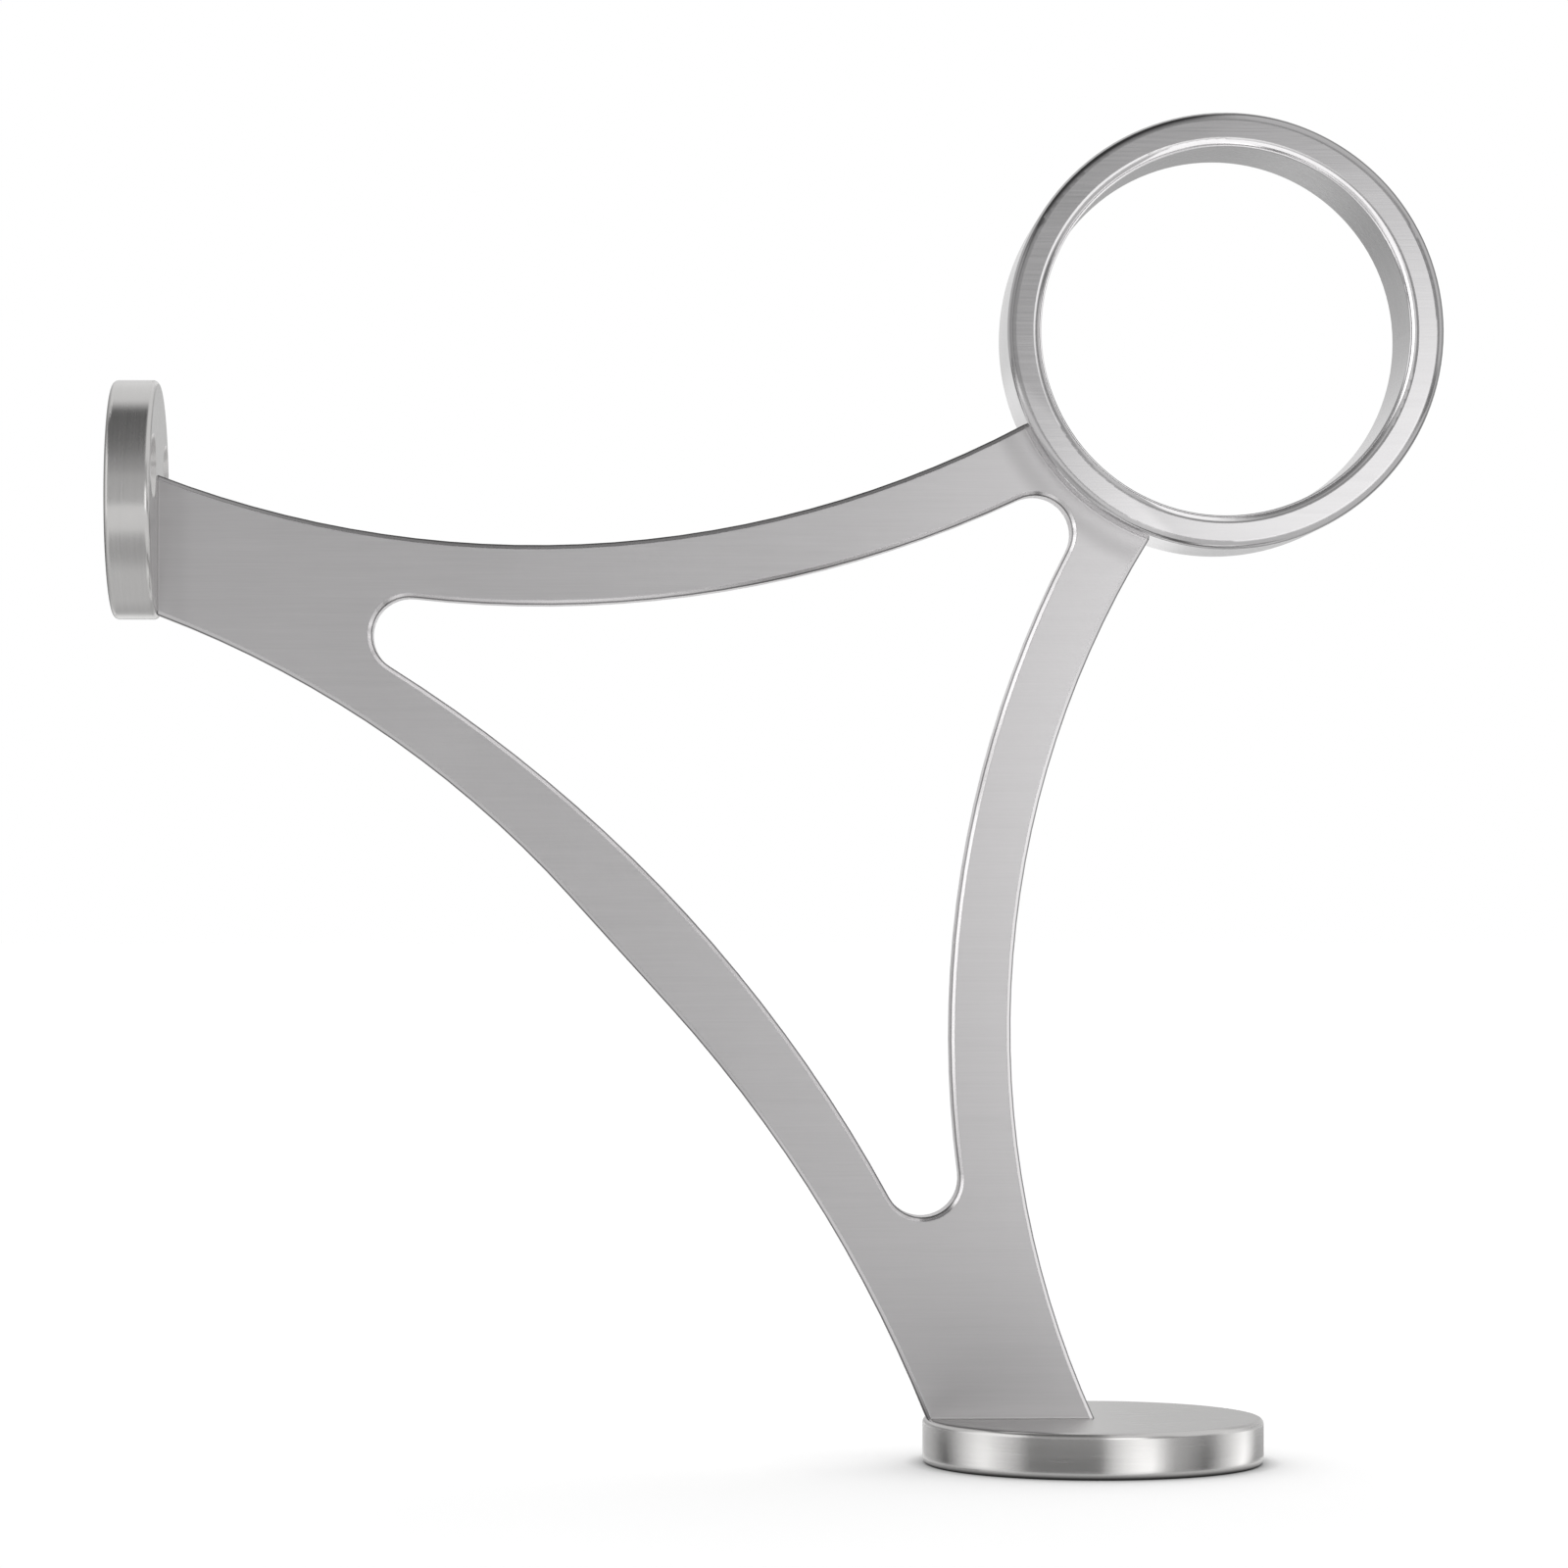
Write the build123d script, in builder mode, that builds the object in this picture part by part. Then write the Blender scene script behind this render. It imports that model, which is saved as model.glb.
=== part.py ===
from build123d import *
from math import cos, radians, sin
import os

# Rail bracket that stands on a floor and fastens to a wall.
# Origin: centre of the wall flange's back face. +X runs from the wall to the rail, +Z is up,
# and the web lies in the XZ plane, half of it on each side. Sizes are in millimetres and degrees.

# Rail ring, bored for the rail's tube
tube_diameter = 50.8
tube_clearance = 0.2
ring_wall = 4.76
ring_depth = 19.05
ring_edge_radius = 1.2

# Place of the rail's axis: out from the wall, up from the floor, and up from the wall flange's centre
rail_reach = 154.4
rail_height = 157.4
rail_rise = 23.2

# Wall flange, with a countersunk hole on each side of the web, this angle above its middle
wall_flange_diameter = 33.3
wall_flange_thickness = 6.35
screw_hole_diameter = 4.5
countersink_diameter = 9.0
countersink_angle = 90
screw_rim_distance = 5.5
screw_angle = 21

# Floor flange, with its centre set back from the rail towards the wall
floor_flange_diameter = 47.6
floor_flange_thickness = 6.35
floor_flange_setback = 17.9
flange_edge_radius = 0.8

# Web: its feet and its outer edges, each edge bowed inwards from its chord
web_thickness = 6.35
web_edge_break = 0.6
foot_rim_gap = 0.45
wall_foot_above_centre = 3.3
top_edge_angle = 204.5
top_edge_bow = 13.05
front_edge_angle = 250.5
front_edge_bow = 15.3

# Web: its opening, given by the centres of the opening's three round corners
corner_radius = 5.2
wall_corner_reach = 34.9
wall_corner_drop = 12.4
floor_corner_height = 33.2
floor_corner_setback = 12.3
ring_corner_angle = 226.7
ring_land = 2.5
opening_top_bow = 6.1
opening_front_bow = 7.0
opening_back_bow = 6.7

# Web: the back strut, with an outer edge that is straight along its middle and widens downwards
back_strut_width = 10.4
back_straight_length = 20.8
back_straight_widening = 0.4

rail_axis = Vector(rail_reach, rail_rise)
bore_radius = tube_diameter / 2 + tube_clearance
ring_radius = bore_radius + ring_wall
wall_flange_radius = wall_flange_diameter / 2
floor_flange_radius = floor_flange_diameter / 2
floor_flange_x = rail_reach - floor_flange_setback
floor_z = rail_rise - rail_height
foot_z = floor_z + floor_flange_thickness


def around_rail(angle, distance):
    """Point of the web's plane at an angle and a distance from the rail's axis."""
    return rail_axis + Vector(cos(radians(angle)), sin(radians(angle))) * distance


# Ends of the web's feet, where they stand on the flanges
wall_foot_top = Vector(wall_flange_thickness, wall_foot_above_centre)
wall_foot_bottom = Vector(wall_flange_thickness, foot_rim_gap - wall_flange_radius)
floor_foot_front = Vector(floor_flange_x, foot_z)
floor_foot_back = Vector(floor_flange_x - floor_flange_radius + foot_rim_gap, foot_z)

# Ends of the seat that is cut to the ring's outside
ring_seat_top = around_rail(top_edge_angle, ring_radius)
ring_seat_front = around_rail(front_edge_angle, ring_radius)

# Centres of the opening's corners, each carried by the end of the web that it lies in
wall_corner = (wall_foot_top + wall_foot_bottom) / 2 + Vector(wall_corner_reach, -wall_corner_drop)
floor_corner = (floor_foot_back + floor_foot_front) / 2 + Vector(-floor_corner_setback, floor_corner_height)
ring_corner = around_rail(ring_corner_angle, ring_radius + ring_land + corner_radius)

# Straight stretch of the back edge, one strut's width outside the opening
down_strut = (floor_corner - wall_corner).normalized()
across_strut = Vector(down_strut.Y, -down_strut.X)
back_middle = (wall_corner + floor_corner) / 2 + across_strut * (
    back_strut_width + corner_radius - opening_back_bow
)
half_straight = (down_strut * back_straight_length + across_strut * back_straight_widening) / 2
straight_top = back_middle - half_straight
straight_bottom = back_middle + half_straight

with BuildPart() as web_plate:
    with BuildSketch(Plane.XZ):
        with BuildLine():
            Line(wall_foot_bottom, wall_foot_top)
            SagittaArc(wall_foot_top, ring_seat_top, -top_edge_bow)
            CenterArc(rail_axis, ring_radius, top_edge_angle, front_edge_angle - top_edge_angle)
            SagittaArc(ring_seat_front, floor_foot_front, -front_edge_bow)
            Line(floor_foot_front, floor_foot_back)
            TangentArc(straight_bottom, floor_foot_back, tangent=half_straight)
            Line(straight_top, straight_bottom)
            TangentArc(straight_top, wall_foot_bottom, tangent=-half_straight)
        make_face()
    extrude(amount=web_thickness / 2, both=True)
    # The opening is a thin curved triangle between its corner centres, grown by the corner radius
    with BuildSketch(Plane.XZ):
        with BuildLine():
            SagittaArc(wall_corner, ring_corner, -opening_top_bow)
            SagittaArc(ring_corner, floor_corner, -opening_front_bow)
            SagittaArc(floor_corner, wall_corner, -opening_back_bow)
        make_face()
        offset(amount=corner_radius, kind=Kind.ARC)
    extrude(amount=web_thickness / 2, both=True, mode=Mode.SUBTRACT)
    # The free edges are broken, and the feet and the ring's seat stay sharp against their neighbours
    face_edges = web_plate.faces().filter_by(Axis.Y).edges()
    foot_edges = face_edges.group_by(Axis.X)[0] + face_edges.group_by(Axis.Z)[0]
    seat_edges = face_edges.filter_by(GeomType.CIRCLE).filter_by(
        lambda edge: abs(edge.radius - ring_radius) < 0.01
    )
    chamfer(face_edges - foot_edges - seat_edges, length=web_edge_break)
web_plate.part.label = "web_plate"

with BuildPart() as rail_ring:
    with BuildSketch(Plane((rail_axis.X, 0, rail_axis.Y), x_dir=(1, 0, 0), z_dir=(0, -1, 0))):
        Circle(ring_radius)
        Circle(bore_radius, mode=Mode.SUBTRACT)
    extrude(amount=ring_depth / 2, both=True)
    fillet(rail_ring.faces().filter_by(Axis.Y).edges(), radius=ring_edge_radius)
rail_ring.part.label = "rail_ring"

with BuildPart() as wall_flange:
    with BuildSketch(Plane.YZ):
        Circle(wall_flange_radius)
    extrude(amount=wall_flange_thickness)
    fillet(wall_flange.faces().filter_by(Axis.X).edges(), radius=flange_edge_radius)
    with Locations(Plane.YZ.offset(wall_flange_thickness)):
        with PolarLocations(
            wall_flange_radius - screw_rim_distance,
            2,
            start_angle=screw_angle,
            angular_range=180 - 2 * screw_angle,
            endpoint=True,
        ):
            CounterSinkHole(
                screw_hole_diameter / 2, countersink_diameter / 2, counter_sink_angle=countersink_angle
            )
wall_flange.part.label = "wall_flange"

with BuildPart() as floor_flange:
    with BuildSketch(Plane((floor_flange_x, 0, floor_z))):
        Circle(floor_flange_radius)
    extrude(amount=floor_flange_thickness)
    fillet(floor_flange.faces().filter_by(Axis.Z).edges(), radius=flange_edge_radius)
floor_flange.part.label = "floor_flange"

os.makedirs("parts", exist_ok=True)
for piece in (web_plate, rail_ring, wall_flange, floor_flange):
    export_step(piece.part, f"parts/{piece.part.label}.step")
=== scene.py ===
import math

import bpy
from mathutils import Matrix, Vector


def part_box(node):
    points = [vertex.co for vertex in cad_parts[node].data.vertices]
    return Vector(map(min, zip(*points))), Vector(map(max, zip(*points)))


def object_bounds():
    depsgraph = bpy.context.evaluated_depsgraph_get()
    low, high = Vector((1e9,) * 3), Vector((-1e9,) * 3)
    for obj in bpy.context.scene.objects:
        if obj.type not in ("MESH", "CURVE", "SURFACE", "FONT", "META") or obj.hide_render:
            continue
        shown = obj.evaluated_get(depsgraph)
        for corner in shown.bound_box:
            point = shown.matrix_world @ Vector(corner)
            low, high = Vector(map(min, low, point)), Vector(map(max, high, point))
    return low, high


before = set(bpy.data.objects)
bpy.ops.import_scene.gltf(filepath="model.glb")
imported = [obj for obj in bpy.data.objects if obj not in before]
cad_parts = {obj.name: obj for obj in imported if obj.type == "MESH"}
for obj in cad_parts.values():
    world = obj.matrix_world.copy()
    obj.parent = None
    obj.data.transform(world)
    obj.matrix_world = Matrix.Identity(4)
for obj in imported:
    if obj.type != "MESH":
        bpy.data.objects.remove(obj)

# The looks of a brushed steel rail bracket that stands on a pale studio floor.
# Lengths are in metres and angles in degrees. The web lies in the XZ plane, and the camera is on its -Y side.

MM = 0.001
X_AXIS = Vector((1, 0, 0))
Y_AXIS = Vector((0, 1, 0))
Z_AXIS = Vector((0, 0, 1))
WHITE = (1, 1, 1, 1)
SQUARE = ((-1, -1), (1, -1), (1, 1), (-1, 1))

cad_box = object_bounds()
floor_height = cad_box[0].z
floor_flange_low, floor_flange_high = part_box("floor_flange")
floor_flange_centre = (floor_flange_low + floor_flange_high) / 2
wall_flange_low, wall_flange_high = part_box("wall_flange")
ring_low, ring_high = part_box("rail_ring")
ring_centre = (ring_low + ring_high) / 2
ring_radius = (ring_high.z - ring_low.z) / 2
ring_wall = 4.76 * MM
web_half_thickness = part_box("web_plate")[1].y

# Camera: in front of the web, a little to the wall's side and a little below the middle. Its lens and its
# sensor are in millimetres.
camera_place = Vector((70.1, -766.1, -52.5)) * MM
camera_yaw = 1.74
camera_pitch = 0.97
camera_lens = 126.0
camera_sensor = 36.0
camera_clip = (0.05, 50)

# Floor: a light of its own keeps it white, and goes out near the object over the shade's reach, as a painted
# shadow. Close to the object the floor's colour darkens too, as a painted contact shadow, over the contact's
# reach.
floor_reach = 6.0
floor_drop = 0.02 * MM
floor_colour = (0.8, 0.8, 0.8, 1)
floor_glow = 0.40
floor_shade_reach = 25 * MM
floor_contact_reach = 3 * MM
occlusion_samples = 8

# World: the level of its light from the sides, and the share by which that rises at the back and falls in
# front
world_level = 0.80
world_lean = 0.9

# Light and dark cards that the steel reflects. Azimuth 0 is where the camera stands, 90 is beyond the rail
# and -90 is the wall's side. Each has a name, the (radius, height) line that is turned about the floor
# flange's axis with the floor as height 0, the soft shares at the line's start and end, and the (azimuth,
# level) of each light or dark place along the turn. Between two places the level blends.
cards = (
    ("left_card", ((0.62, 0.004), (0.62, 0.14)), (0.0, 0.2), (
        (-180, 0.6), (-145, 0.55), (-130, 0.3), (-112, 0.3), (-98, 1.6), (-54, 1.6), (-46, 0.0))),
    ("upper_left_card", ((0.63, 0.1), (0.63, 0.52)), (0.0, 0.15), (
        (-180, 0.85), (-100, 0.85), (-90, 1.6), (-54, 1.6), (-46, 0.0))),
    ("right_card", ((0.62, 0.004), (0.62, 0.14)), (0.0, 0.2), (
        (44, 0.0), (56, 0.35), (80, 0.35), (92, 1.2), (116, 1.2), (134, 0.7), (180, 0.7))),
    ("upper_right_card", ((0.63, 0.1), (0.63, 0.52)), (0.0, 0.15), (
        (44, 0.0), (56, 1.0), (116, 1.1), (134, 0.7), (180, 0.7))),
    ("front_card", ((1.0, 0.0), (1.0, 0.75)), (0.0, 0.12), (
        (-52, 0.62), (30, 0.62), (62, 0.4))),
    ("far_floor_card", ((0.105, 0.0012), (0.29, 0.0012)), (0.0, 0.4), (
        (-240, 1.0), (-220, 0.62), (-130, 0.62), (-110, 0.8), (-74, 0.8), (-60, 0.58), (-38, 0.58),
        (-24, 1.0))),
)
card_step = 3
card_ends = (0.06, 0.06)

# The fan of cards on the floor round the floor flange. Each light or dark place has the angle of the rim that
# mirrors it to the camera, 0 at the rim's front, so its sides run out from the rim along the mirrored view.
# The camera's side is how far round to the wall's side the camera stands, as seen from the flange.
fan_height = 0.8 * MM
fan_gap = 1 * MM
fan_length = 72 * MM
fan_camera_side = 5
fan_border = 0.3
fan_levels = (
    (-90, 0.7), (-76, 0.6), (-66, 0.12), (-46, 1.7), (-28, 0.18), (-3, 0.18),
    (15, 2.3), (22, 0.8), (37, 0.12), (57, 2.1), (66, 0.5), (90, 0.5),
)

# The round softbox, in front of the bracket and beyond the ring: its centre, radius, soft share and level
softbox_place = Vector((0.308, -0.55, -0.028))
softbox_radius = 0.19
softbox_softness = 0.45
softbox_level = 2.25

# The hood over the bracket, an arc about the wall flange's axis: its radius, its reach along X, its soft
# shares at the sides and at the back, and the (elevation, level) of its light and dark places, where
# elevation 0 is level with the axis in front and 90 is overhead
hood_radius = 0.8
hood_reach = (-0.9, 0.3)
hood_sides = (0.15, 0.15)
hood_back = 0.22
hood_levels = ((22, 0.5), (31, 0.42), (43, 0.27), (55, 0.2), (92, 0.13), (108, 0.3))

# The numbers of the steels. A tone multiplies the steel's colour. A span is where something starts and where
# it is complete, and a ramp is (start, end, value at the start, value at the end). Facing is 1 where the
# surface has the flat faces' direction and 0 at right angles to it, sideways is the part of the surface's
# direction along X, and upwards the part along Z.
web_colour = (0.545, 0.535, 0.54)
ring_colour = (0.415, 0.409, 0.413)
flange_colour = (0.525, 0.518, 0.512)

# Joints: the spans in which the painted shade beside a joint rises and falls, the width and the added tone of
# the painted highlight line on the joint, and how dark the painted shade is at each joint of the web
joint_shade_band = ((0.3 * MM, 2.7 * MM), (2.8 * MM, 5.2 * MM))
joint_line_width = 0.25 * MM
joint_highlight_tone = 0.15
seat_joint_depth = 0.18
wall_joint_depth = 0.05
floor_joint_depth = 0.03

# Web: its foot darkened by painted shade by the height above the floor flange, its cut sides, and the ramp of
# its broken edges by the depth into the plate, from a painted highlight to a painted dark line. On the arm's
# top and wherever they face down, these edges are darker still, by painted shade.
foot_shade_ramp = (10 * MM, 110 * MM, 0.86, 1.0)
cut_tone = 1.25
break_light_and_shade_ramp = (0.36 * MM, 0.44 * MM, 1.5, 0.55)
arm_top_shade_tone = 0.55
arm_top_upwards = (0.5, 0.62)
arm_top_height = (-20 * MM, -10 * MM)
facing_down_shade_ramp = (-0.35, -0.15, 0.72, 1.0)
web_roughness = 0.33
break_roughness = 0.22
cut_roughness = 0.42

# Ring, beside the web: the span of how far a place lies towards the lower left, in ring radii along X and Z
# together, and the tones of the painted light there
beside_web_span = (1.12, 1.25)
beside_web_face_light = 1.2
beside_web_rim_light = 1.8

# Ring, painted dark line on the outer edge, a painted reflection: the spans of facing in which it rises and
# falls, how far these shift by sideways, its strength by sideways and by upwards, its tone, and the share
# that is left beside the web
outer_line_band = ((0.58, 0.7), (0.9, 0.97))
outer_line_shift = (-0.3, 0.3, 0.0, 0.25)
outer_line_sideways = (0.2, 0.7, 0.3, 1.0)
outer_line_upwards = (0.1, 0.5, 0.3, 0.85)
outer_dark_reflection_tone = 0.38
outer_line_beside_web = 0.25

# Ring, the bore's edge: the same for its painted highlight band, and for the thin line of painted shade along
# its lower half
highlight_band = ((0.2, 0.35), (0.94, 0.985))
highlight_shift = (0.05, 0.35, 0.0, 0.2)
highlight_tone = 2.2
inner_line_band = ((0.0, 0.1), (0.45, 0.6))
inner_line_upwards = (0.1, 0.4)
inner_shade_tone = 0.25

# Ring, its rim outside and its bore, which has painted light: lighter the more it faces up
rim_tone = 1.15
bore_light_ramp = (-0.2, 0.8, 0.68, 1.6)
ring_roughness = 0.18
bore_roughness = 0.28

# Flanges: the painted contact shadow along the seat's edge by the distance from the seat, and the tones of
# the faces
seat_shadow_ramp = (0.15 * MM, 0.6 * MM, 0.4, 1.0)
wall_flange_face_tone = 0.8
floor_flange_face_tone = 1.0
flange_roughness = 0.25


class Graph:
    """The node tree of a material or of the world, written in short calls."""

    def __init__(self, owner):
        owner.use_nodes = True
        self.tree = owner.node_tree
        self.tree.nodes.clear()

    def feed(self, socket, value):
        """Links a socket to an input, or sets the input to a plain value."""
        if isinstance(value, bpy.types.NodeSocket):
            self.tree.links.new(value, socket)
        else:
            socket.default_value = value

    def node(self, kind, inputs=None, **settings):
        """A new node with its settings, and its inputs by name or number."""
        made = self.tree.nodes.new("ShaderNode" + kind)
        for name, value in settings.items():
            setattr(made, name, value)
        for name, value in (inputs or {}).items():
            self.feed(made.inputs[name], value)
        return made

    def math(self, operation, *values):
        """The result of a Math node."""
        return self.node("Math", dict(enumerate(values)), operation=operation).outputs[0]

    def total(self, first, *others):
        """The sum of several numbers."""
        for other in others:
            first = self.math("ADD", first, other)
        return first

    def product(self, first, *others):
        """The product of several numbers."""
        for other in others:
            first = self.math("MULTIPLY", first, other)
        return first

    def vector(self, operation, *values):
        """The vector that a Vector Math node gives."""
        return self.node("VectorMath", dict(enumerate(values)), operation=operation).outputs["Vector"]

    def measure(self, operation, *values):
        """The number that a Vector Math node gives, such as a dot product or a length."""
        return self.node("VectorMath", dict(enumerate(values)), operation=operation).outputs["Value"]

    def parts(self, vector):
        """The parts of a vector along X, Y and Z."""
        return self.node("SeparateXYZ", {0: vector}).outputs

    def remap(self, value, low, high, to_low=0.0, to_high=1.0):
        """A value carried smoothly from one range to another, and held at its ends."""
        inputs = {0: value, 1: low, 2: high, 3: to_low, 4: to_high}
        return self.node("MapRange", inputs, interpolation_type="SMOOTHSTEP").outputs[0]

    def ease(self, share, end):
        """1 where a share is 0, and carried smoothly to an end value where it is 1."""
        return self.remap(share, 0.0, 1.0, 1.0, end)

    def mix(self, share, first, second):
        """A number between two numbers."""
        return self.node("Mix", {0: share, 2: first, 3: second}, data_type="FLOAT").outputs[0]

    def mix_vector(self, share, first, second):
        """A vector between two vectors."""
        return self.node("Mix", {0: share, 4: first, 5: second}, data_type="VECTOR").outputs[1]

    def noise(self, place, scale, detail):
        """Smooth noise from 0 to 1, with its scale along X, Y and Z."""
        scaled = self.vector("MULTIPLY", place, scale)
        return self.node("TexNoise", {"Vector": scaled, "Scale": 1.0, "Detail": detail}).outputs[0]


def new_material(name):
    """A material and its empty node tree."""
    material = bpy.data.materials.new(name)
    return material, Graph(material)


def make_mesh(name, corners, faces):
    """A mesh object in the scene, from its corners and its faces."""
    mesh = bpy.data.meshes.new(name)
    mesh.from_pydata(corners, [], faces)
    made = bpy.data.objects.new(name, mesh)
    bpy.context.scene.collection.objects.link(made)
    return made


def make_camera():
    """The camera, from the photograph's side."""
    yaw = math.radians(camera_yaw)
    pitch = math.radians(camera_pitch)
    forward = Vector((math.sin(yaw) * math.cos(pitch), math.cos(yaw) * math.cos(pitch), math.sin(pitch)))
    camera = bpy.data.objects.new("camera", bpy.data.cameras.new("camera"))
    camera.data.lens = camera_lens
    camera.data.sensor_width = camera_sensor
    camera.data.clip_start, camera.data.clip_end = camera_clip
    camera.location = camera_place
    camera.rotation_mode = "QUATERNION"
    camera.rotation_quaternion = forward.to_track_quat("-Z", "Y")
    bpy.context.scene.collection.objects.link(camera)
    bpy.context.scene.camera = camera


def sees_backdrop(graph):
    """1 for the rays that see the white backdrop: the camera's own, and those in metal or glass."""
    light_path = graph.node("LightPath").outputs
    in_steel = graph.math("MAXIMUM", light_path["Is Glossy Ray"], light_path["Is Transmission Ray"])
    return graph.math("MAXIMUM", light_path["Is Camera Ray"], in_steel)


def make_world():
    """A white world, where it is seen, that lights the rest with its own level and lean."""
    world = bpy.data.worlds.new("studio")
    bpy.context.scene.world = world
    graph = Graph(world)
    from_behind = graph.parts(graph.node("TexCoord").outputs["Generated"])[1]
    lit = graph.math("MULTIPLY_ADD", from_behind, world_level * world_lean, world_level)
    level = graph.mix(sees_backdrop(graph), lit, 1.0)
    background = graph.node("Background", {"Color": WHITE, "Strength": level})
    graph.node("OutputWorld", {"Surface": background.outputs[0]})


def make_floor():
    """A pale floor that reads as white and keeps the object's shadow, deepened near the object by painted
    shadow.
    """
    level = floor_height - floor_drop
    corners = [(x * floor_reach, y * floor_reach, level) for x, y in SQUARE]
    floor = make_mesh("floor", corners, [(0, 1, 2, 3)])
    material, graph = new_material("floor")
    samples = occlusion_samples
    # Painted contact shadow: the floor's colour darkens by occlusion close to the object
    contact = graph.node(
        "AmbientOcclusion", {"Color": floor_colour, "Distance": floor_contact_reach}, samples=samples)
    diffuse = graph.node("BsdfDiffuse", {"Color": contact.outputs["Color"]})
    # Painted shadow: the floor's own light goes out by occlusion near the object
    shade = graph.node("AmbientOcclusion", {"Distance": floor_shade_reach}, samples=samples)
    glow = graph.product(sees_backdrop(graph), shade.outputs["AO"], floor_glow)
    emission = graph.node("Emission", {"Strength": glow})
    surface = graph.node("AddShader", {0: diffuse.outputs[0], 1: emission.outputs[0]})
    graph.node("OutputMaterial", {"Surface": surface.outputs[0]})
    floor.data.materials.append(material)


def finish_card(card, uvs, levels, cover_at):
    """Gives a card its levels and its soft borders, and shows it to reflections alone."""
    layer = card.data.uv_layers.new(name="card")
    for loop in card.data.loops:
        layer.data[loop.index].uv = uvs[loop.vertex_index]
    shine = card.data.attributes.new("level", "FLOAT", "POINT")
    shine.data.foreach_set("value", levels)
    material, graph = new_material(card.name)
    material.cycles.emission_sampling = "NONE"
    cover = cover_at(graph, graph.node("UVMap", uv_map="card").outputs[0])
    level = graph.node("Attribute", attribute_name="level").outputs["Fac"]
    emission = graph.node("Emission", {"Strength": level})
    clear = graph.node("BsdfTransparent")
    surface = graph.node("MixShader", {0: cover, 1: clear.outputs[0], 2: emission.outputs[0]})
    graph.node("OutputMaterial", {"Surface": surface.outputs[0]})
    card.data.materials.append(material)
    card.visible_camera = False
    card.visible_diffuse = False
    card.visible_shadow = False


def soft_sides(ends, borders):
    """The cover of a card that fades towards its sides, from shares of its length and its width."""

    def cover_at(graph, uv):
        parts = graph.parts(uv)
        cover = 1.0
        for along, (start, end) in ((parts[0], ends), (parts[1], borders)):
            if start:
                cover = graph.product(graph.remap(along, 0.0, start), cover)
            if end:
                cover = graph.product(graph.remap(along, 1.0 - end, 1.0, 1.0, 0.0), cover)
        return cover

    return cover_at


def soft_circle(softness):
    """The cover of a round softbox."""

    def cover_at(graph, uv):
        return graph.remap(graph.measure("LENGTH", uv), 1.0 - softness, 1.0, 1.0, 0.0)

    return cover_at


def between_stops(stops, step):
    """Evenly spaced (place, level) pairs from the first stop to the last."""
    first, last = stops[0][0], stops[-1][0]
    count = round((last - first) / step)
    for i in range(count + 1):
        place = first + (last - first) * i / count
        for (a, level_a), (b, level_b) in zip(stops, stops[1:]):
            if place <= b:
                yield place, level_a + (level_b - level_a) * (place - a) / (b - a)
                break


def make_strip(name, rows, ends, borders):
    """A card from rows of (two corners, level), with soft shares at its ends and at its long borders."""
    corners = [corner for pair, _ in rows for corner in pair]
    levels = [level for pair, level in rows for _ in pair]
    uvs = [(i / (len(rows) - 1), side) for i in range(len(rows)) for side in (0, 1)]
    faces = [(2 * i, 2 * i + 2, 2 * i + 3, 2 * i + 1) for i in range(len(rows) - 1)]
    finish_card(make_mesh(name, corners, faces), uvs, levels, soft_sides(ends, borders))


def make_card(name, line, borders, stops):
    """A card turned about the floor flange's axis from the first azimuth to the last."""
    rows = []
    for azimuth, level in between_stops(stops, card_step):
        turn = math.radians(azimuth)
        pair = [
            (floor_flange_centre.x + radius * math.sin(turn), -radius * math.cos(turn), floor_height + height)
            for radius, height in line
        ]
        rows.append((pair, level))
    make_strip(name, rows, card_ends, borders)


def make_fan():
    """The fan of floor cards, from the rim's left round its front to its right."""
    rim_radius = floor_flange_high.x - floor_flange_centre.x
    rows = []
    for angle, level in between_stops(fan_levels, card_step):
        out, away = (
            Vector((math.sin(math.radians(turn)), -math.cos(math.radians(turn)), 0))
            for turn in (angle, 2 * angle + fan_camera_side)
        )
        start = floor_flange_centre + out * (rim_radius + fan_gap)
        start.z = floor_height + fan_height
        rows.append(((start, start + away * fan_length), level))
    make_strip("floor_fan", rows, (0.0, 0.0), (0.0, fan_border))


def make_hood():
    """The hood's arc, from low in front over the top to the back."""
    rows = []
    for elevation, level in between_stops(hood_levels, card_step):
        turn = math.radians(elevation)
        y, z = -hood_radius * math.cos(turn), hood_radius * math.sin(turn)
        rows.append(([(x, y, z) for x in hood_reach], level))
    make_strip("hood", rows, (0.0, hood_back), hood_sides)


def make_softbox():
    """A round softbox that faces the ring."""
    toward_ring = (ring_centre - softbox_place).normalized()
    across = toward_ring.cross(Z_AXIS).normalized()
    up = across.cross(toward_ring)
    corners = [softbox_place + (across * u + up * v) * softbox_radius for u, v in SQUARE]
    box = make_mesh("softbox", corners, [(0, 1, 2, 3)])
    finish_card(box, SQUARE, [softbox_level] * len(SQUARE), soft_circle(softbox_softness))


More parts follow.
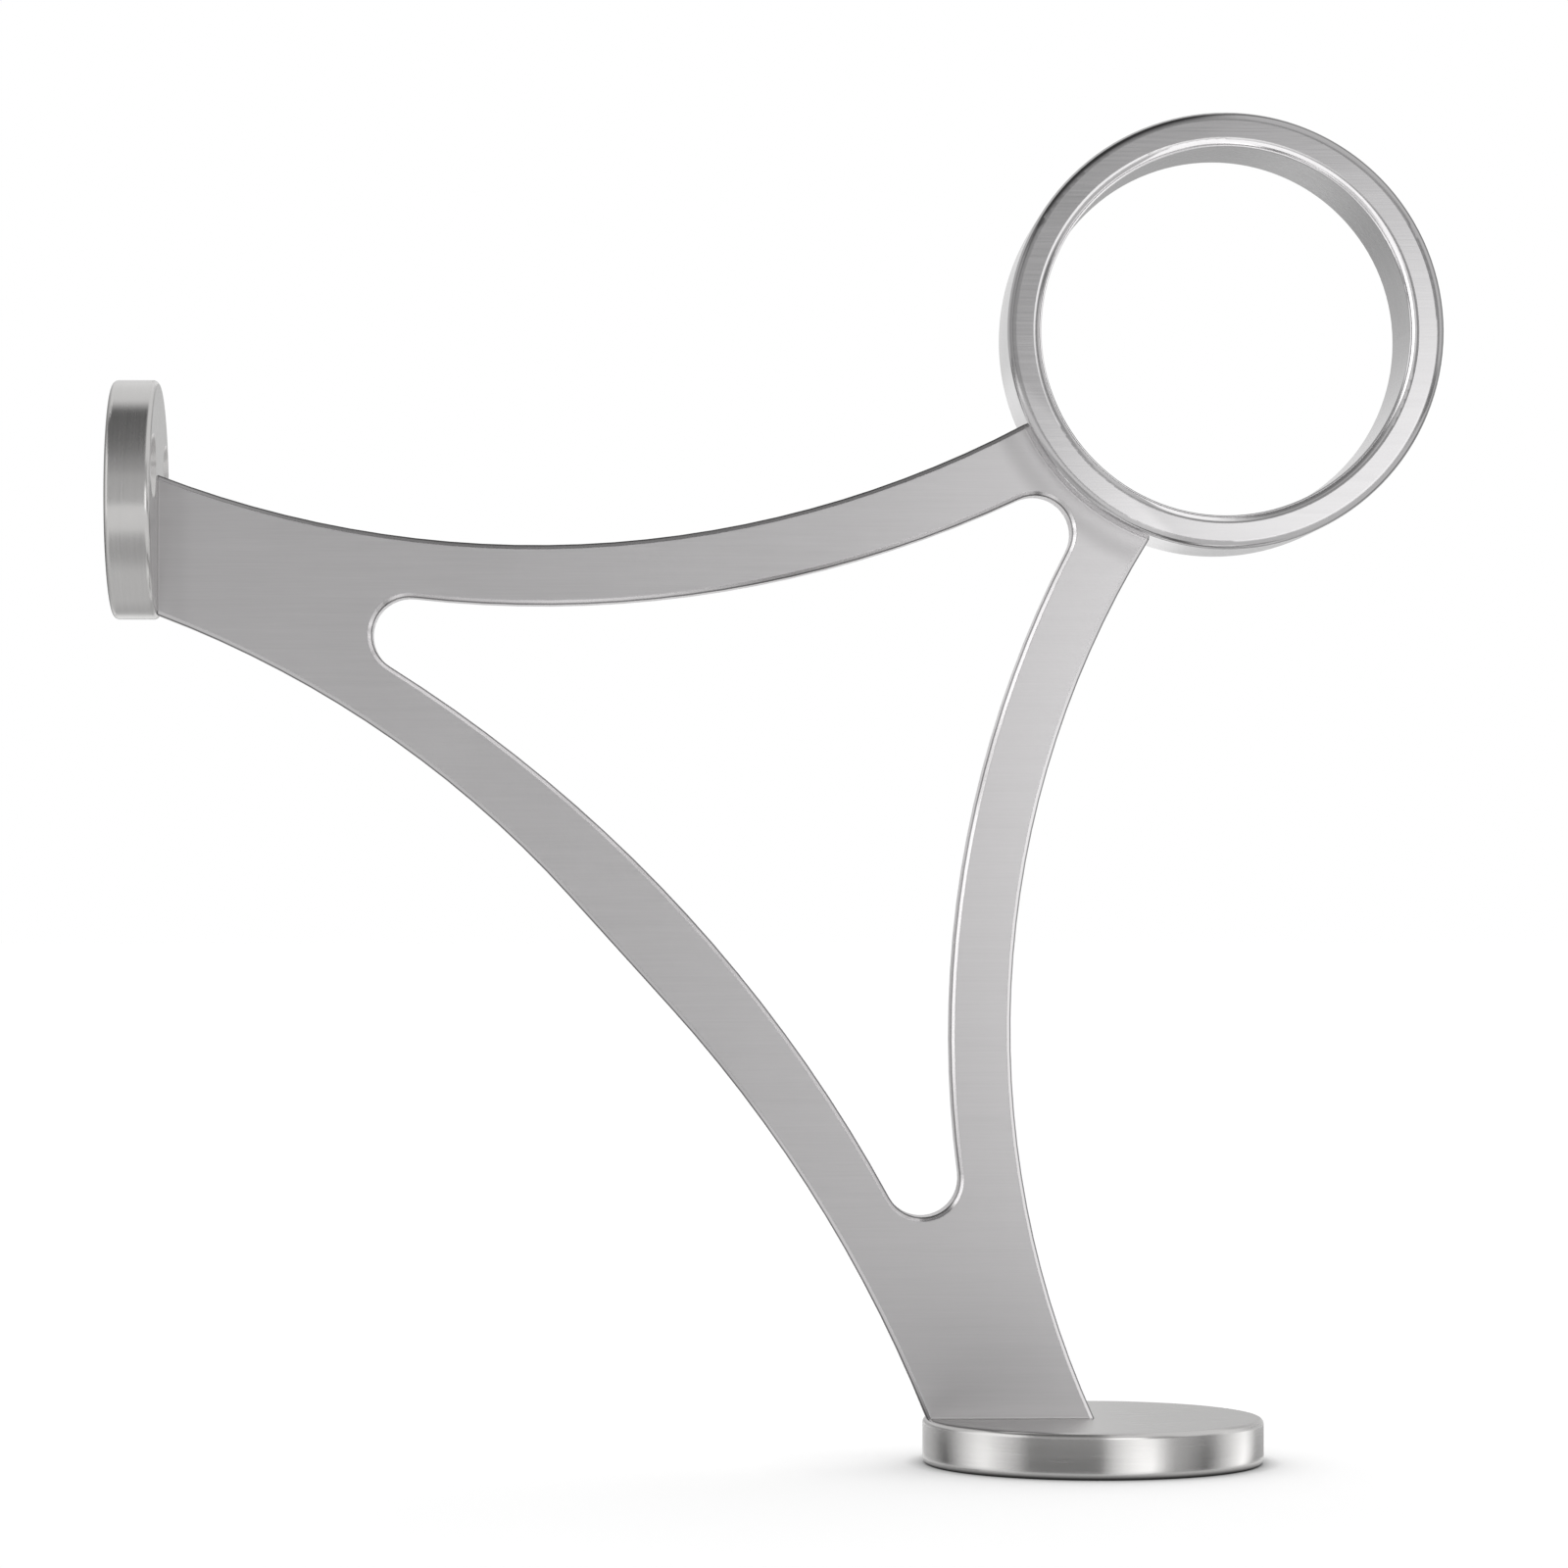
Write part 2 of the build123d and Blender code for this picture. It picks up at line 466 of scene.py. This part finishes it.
class Steel:
    """A steel finish: straight grain on the flat faces, and grain that runs round or along all other sides.

    flat_axis is the flat faces' normal, flat_grain the direction of their grain, and rim_axis the direction
    that the other grain runs across.
    """

    # Fine, middle and broad streaks: thickness across the grain and length along it
    streaks = ((0.11 * MM, 6 * MM), (0.3 * MM, 14 * MM), (1.4 * MM, 26 * MM))
    streak_detail = 2.0
    cloud_size = 13 * MM
    cloud_detail = 3.0

    # Facing above the first limit is a flat face, and below the second a side at right angles to it
    flat_limit = 0.9
    side_limit = 0.3

    # How much the streaks and the clouds change the tone, the roughness and the relief
    broad_share = 0.7
    cloud_depth = 0.07
    rough_streak_depth = 0.08
    rough_cloud_depth = 0.06
    fine_relief = 0.4
    middle_relief = 0.6
    relief_height = 0.02 * MM
    bevel_samples = 4

    def __init__(self, name, flat_axis, flat_grain, rim_axis):
        self.material, self.graph = new_material(name)
        coordinates = self.graph.node("TexCoord").outputs
        self.place = coordinates["Object"]
        self.normal = coordinates["Normal"]
        self.facing = self.graph.math("ABSOLUTE", self.graph.measure("DOT_PRODUCT", self.normal, flat_axis))
        self.on_flat = self.graph.math("GREATER_THAN", self.facing, self.flat_limit)
        self.on_side = self.graph.math("LESS_THAN", self.facing, self.side_limit)
        flat_across = flat_axis.cross(flat_grain)
        self.tangent = self.graph.mix_vector(self.on_flat, rim_axis, flat_across)
        self.fine, self.middle, self.broad = (
            self.streak(flat_across, rim_axis, thickness, length) for thickness, length in self.streaks
        )
        self.cloud = self.graph.noise(self.place, [1 / self.cloud_size] * 3, self.cloud_detail)

    def streak(self, flat_across, rim_across, thickness, length):
        """Noise stretched along the grain of each side."""
        flat, rim = (
            [1 / thickness if part else 1 / length for part in across] for across in (flat_across, rim_across)
        )
        scale = self.graph.mix_vector(self.on_flat, rim, flat)
        return self.graph.noise(self.place, scale, self.streak_detail)

    def sway(self, value, amount):
        """A change round zero that follows a noise."""
        return self.graph.product(self.graph.math("SUBTRACT", value, 0.5), amount)

    def from_rail_axis(self):
        """Distance from the rail's axis, which runs along Y through the ring's centre."""
        away = self.graph.vector("SUBTRACT", self.place, ring_centre)
        return self.graph.measure("LENGTH", self.graph.vector("MULTIPLY", away, (1, 0, 1)))

    def band(self, value, rise, fall):
        """1 between a rise and a fall, each given by the values where it starts and ends."""
        return self.graph.product(self.graph.remap(value, *rise), self.graph.remap(value, *fall, 1.0, 0.0))

    def finish(self, colour, tone, roughness, grain_depth, anisotropy, streak_depth, rounding):
        """Joins the parts into the surface, with streaks and clouds in its tone, gloss and relief."""
        graph = self.graph
        tone = graph.product(tone, graph.total(
            1.0, self.sway(self.fine, streak_depth), self.sway(self.middle, streak_depth),
            self.sway(self.broad, self.broad_share * streak_depth), self.sway(self.cloud, self.cloud_depth)))
        base = graph.node("VectorMath", {0: colour, "Scale": tone}, operation="SCALE").outputs[0]
        rough = graph.total(
            roughness, self.sway(self.fine, self.rough_streak_depth),
            self.sway(self.middle, self.rough_streak_depth), self.sway(self.cloud, self.rough_cloud_depth))
        height = graph.total(
            graph.product(self.fine, self.fine_relief), graph.product(self.middle, self.middle_relief))
        rounded = graph.node("Bevel", {"Radius": rounding}, samples=self.bevel_samples).outputs[0]
        bump = graph.node("Bump", {
            "Strength": grain_depth, "Distance": self.relief_height, "Height": height, "Normal": rounded})
        bsdf = graph.node("BsdfPrincipled", {
            "Base Color": base, "Metallic": 1.0, "Roughness": rough,
            "Anisotropic": anisotropy, "Tangent": self.tangent, "Normal": bump.outputs[0]})
        graph.node("OutputMaterial", {"Surface": bsdf.outputs[0]})
        return self.material


def joint_shade(steel, distance, depth):
    """A soft band of painted shade beside a joint, and a fine painted highlight line on the joint itself."""
    graph = steel.graph
    # Painted shade in a band beside the joint, and a painted highlight line on the joint
    shade = graph.product(steel.band(distance, *joint_shade_band), steel.on_flat, -depth)
    on_line = graph.math("LESS_THAN", distance, joint_line_width)
    return graph.total(1.0, shade, graph.product(on_line, steel.on_flat, joint_highlight_tone))


def web_steel():
    """The web: brushed along X on its faces, with painted shade towards its foot and beside its joints,
    smoother on its broken edges, which carry a painted highlight and painted dark lines, and lighter and
    rougher where it was cut."""
    steel = Steel("web_steel", Y_AXIS, X_AXIS, Y_AXIS)
    graph = steel.graph
    out, across, up = graph.parts(steel.place)
    from_seat = graph.math("SUBTRACT", steel.from_rail_axis(), ring_radius)
    from_wall_flange = graph.math("SUBTRACT", out, wall_flange_high.x)
    from_floor_flange = graph.math("SUBTRACT", up, floor_flange_high.z)
    on_break = graph.math("SUBTRACT", graph.math("SUBTRACT", 1.0, steel.on_flat), steel.on_side)
    # A broken edge has a painted highlight next to the face and a painted dark line next to the cut
    into_plate = graph.math("SUBTRACT", web_half_thickness, graph.math("ABSOLUTE", across))
    upwards = graph.parts(steel.normal)[2]
    # Painted shade: these edges darken on the arm's top and wherever they face down
    on_arm_top = graph.product(graph.remap(upwards, *arm_top_upwards), graph.remap(up, *arm_top_height))
    break_light_and_shade = graph.product(
        graph.remap(into_plate, *break_light_and_shade_ramp),
        graph.ease(on_arm_top, arm_top_shade_tone),
        graph.remap(upwards, *facing_down_shade_ramp))
    tone = graph.product(
        graph.mix(on_break, graph.mix(steel.on_side, 1.0, cut_tone), break_light_and_shade),
        joint_shade(steel, from_seat, seat_joint_depth),
        joint_shade(steel, from_wall_flange, wall_joint_depth),
        joint_shade(steel, from_floor_flange, floor_joint_depth),
        # Painted shade: the web darkens towards its foot
        graph.remap(from_floor_flange, *foot_shade_ramp))
    roughness = graph.mix(steel.on_side, graph.mix(on_break, web_roughness, break_roughness), cut_roughness)
    return steel.finish(
        web_colour, tone, roughness, grain_depth=0.18, anisotropy=0.55, streak_depth=0.08, rounding=0.2 * MM)


def ring_steel():
    """The ring: brushed faces, a painted dark reflection on its outer edges, a painted highlight on its inner
    edges, and a duller bore with painted light where it faces up.
    """
    steel = Steel("ring_steel", Y_AXIS, X_AXIS, Y_AXIS)
    graph = steel.graph
    inwards = graph.math("LESS_THAN", steel.from_rail_axis(), ring_radius - ring_wall / 2)
    sideways, _, upwards = graph.parts(steel.normal)
    # Beside the web, on the ring's lower left, painted light makes the steel brighter and the painted dark
    # line all but ends
    from_centre = graph.vector("SUBTRACT", steel.place, ring_centre)
    to_lower_left = (-1 / ring_radius, 0, -1 / ring_radius)
    beside_web = graph.remap(graph.measure("DOT_PRODUCT", from_centre, to_lower_left), *beside_web_span)
    # The painted dark line is thinnest on the side away from the wall, and faint at the bottom
    outer_place = graph.math("ADD", steel.facing, graph.remap(sideways, *outer_line_shift))
    outer_strength = graph.math(
        "MAXIMUM", graph.remap(graph.math("ABSOLUTE", sideways), *outer_line_sideways),
        graph.remap(upwards, *outer_line_upwards))
    outer_line = graph.product(
        steel.band(outer_place, *outer_line_band), outer_strength,
        graph.mix(beside_web, 1.0, outer_line_beside_web))
    # The painted highlight band on the bore's edge is thinnest on the wall's side
    highlight_place = graph.math("ADD", steel.facing, graph.remap(sideways, *highlight_shift))
    painted_highlight = steel.band(highlight_place, *highlight_band)
    # Painted shade: a thin dark line at the bore's edge, on its lower half
    inner_line = graph.product(
        steel.band(steel.facing, *inner_line_band), graph.remap(upwards, *inner_line_upwards))
    inner_tone = graph.product(graph.ease(painted_highlight, highlight_tone), graph.ease(inner_line, inner_shade_tone))
    # Painted light: the bore is lighter the more it faces up
    side_tone = graph.mix(
        inwards, graph.mix(beside_web, rim_tone, beside_web_rim_light), graph.remap(upwards, *bore_light_ramp))
    # Painted light beside the web brightens the ring's face and rim
    tone = graph.product(
        graph.mix(inwards, graph.ease(outer_line, outer_dark_reflection_tone), inner_tone),
        graph.mix(steel.on_side, graph.ease(beside_web, beside_web_face_light), side_tone))
    roughness = graph.mix(graph.product(inwards, steel.on_side), ring_roughness, bore_roughness)
    return steel.finish(
        ring_colour, tone, roughness, grain_depth=0.15, anisotropy=0.4, streak_depth=0.10, rounding=0.05 * MM)


def flange_steel(name, axis, face_grain, seat, face_tone):
    """A turned flange with a straight grain on its faces, and a painted contact shadow along the edge of its
    seat.
    """
    steel = Steel(name, axis, face_grain, axis)
    graph = steel.graph
    from_seat = graph.math("SUBTRACT", graph.measure("DOT_PRODUCT", steel.place, axis), seat)
    # Painted contact shadow: darker within a fraction of a millimetre of the seat
    tone = graph.product(
        graph.remap(from_seat, *seat_shadow_ramp), graph.mix(steel.on_flat, 1.0, face_tone))
    return steel.finish(
        flange_colour, tone, flange_roughness, grain_depth=0.12, anisotropy=0.7, streak_depth=0.07,
        rounding=0.05 * MM)


make_camera()
make_world()
make_floor()
for card in cards:
    make_card(*card)
make_fan()
make_hood()
make_softbox()

finishes = {
    "web_plate": web_steel(),
    "rail_ring": ring_steel(),
    "wall_flange": flange_steel(
        "wall_flange_steel", X_AXIS, Z_AXIS, wall_flange_low.x, wall_flange_face_tone),
    "floor_flange": flange_steel(
        "floor_flange_steel", Z_AXIS, X_AXIS, floor_flange_low.z, floor_flange_face_tone),
}
for name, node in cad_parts.items():
    node.material_slots[0].material = finishes[name]

bpy.context.scene.view_settings.view_transform = "Standard"
